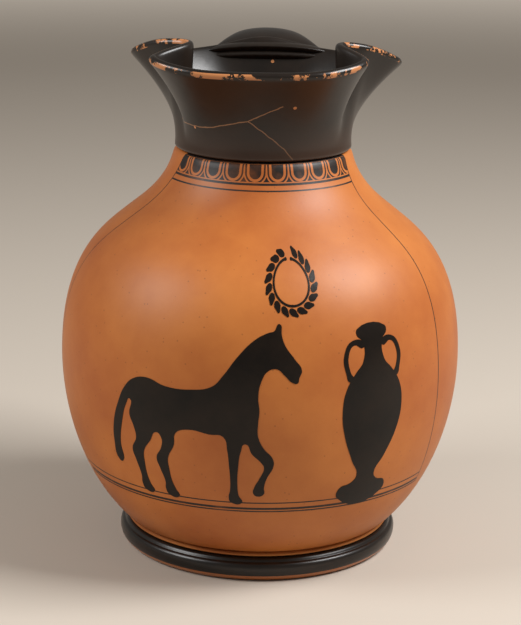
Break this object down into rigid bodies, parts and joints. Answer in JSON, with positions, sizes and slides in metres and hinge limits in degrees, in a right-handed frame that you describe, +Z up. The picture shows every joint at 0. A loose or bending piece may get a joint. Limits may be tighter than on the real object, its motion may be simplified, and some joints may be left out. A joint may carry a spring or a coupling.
{
  "type": "oinochoe",
  "caption": "Trefoil-mouthed wine jug with a round body, a ring foot, a black neck with a wide pouring lobe and a strap handle at the back.",
  "frame": {"origin": "on the standing surface, under the middle of the round body", "axes": "+Z up along the jug's axis, -Y towards the pouring lobe, +Y towards the handle, +X to the right as seen from the pouring lobe"},
  "size_m": [0.172, 0.172, 0.2207],
  "materials": {
    "fired_clay": "fine orange clay, burnished to a soft sheen",
    "black_gloss": "black slip fired to a soft gloss, worn and chipped at the edges",
    "luting_clay": "bare clay, slightly rough"
  },
  "bodies": {
    "root": {"foot": "black_gloss", "foot_luting_ring": "luting_clay", "body": "fired_clay", "neck_luting_coil": "luting_clay", "neck_and_mouth": "black_gloss", "handle": "black_gloss", "handle_upper_luting": "black_gloss", "handle_lower_luting": "black_gloss"}
  },
  "joints": []
}
